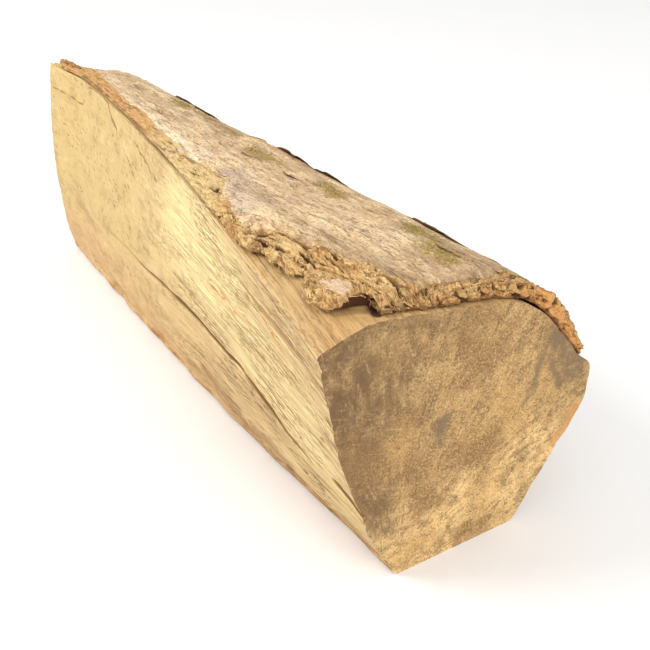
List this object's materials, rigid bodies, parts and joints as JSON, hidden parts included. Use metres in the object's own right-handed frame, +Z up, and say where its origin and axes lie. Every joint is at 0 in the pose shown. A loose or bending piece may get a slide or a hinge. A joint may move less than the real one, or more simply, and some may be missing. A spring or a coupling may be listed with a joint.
{
  "type": "split firewood log",
  "caption": "Firewood log riven from a hardwood round and sawn at both ends, with torn bark over its rounded top; it lies on a flat riven facet.",
  "frame": {"origin": "middle of the base of the whole log's box, on the flat riven facet that the log rests on", "axes": "+X along the log towards the sawn end with the torn bark, +Z up, -Y out of the tall riven face"},
  "size_m": [0.4, 0.152, 0.1419],
  "materials": {
    "riven_wood": "dry riven hardwood, matt, with rough sawn ends greyed by weather",
    "bark": "grey-beige fissured bark, matt, fibrous golden tan where it is torn",
    "torn_bark": "torn inner layers of the bark and loose fibres, matt golden tan"
  },
  "bodies": {
    "root": {"wood": "riven_wood", "bark": "bark"}
  },
  "joints": []
}
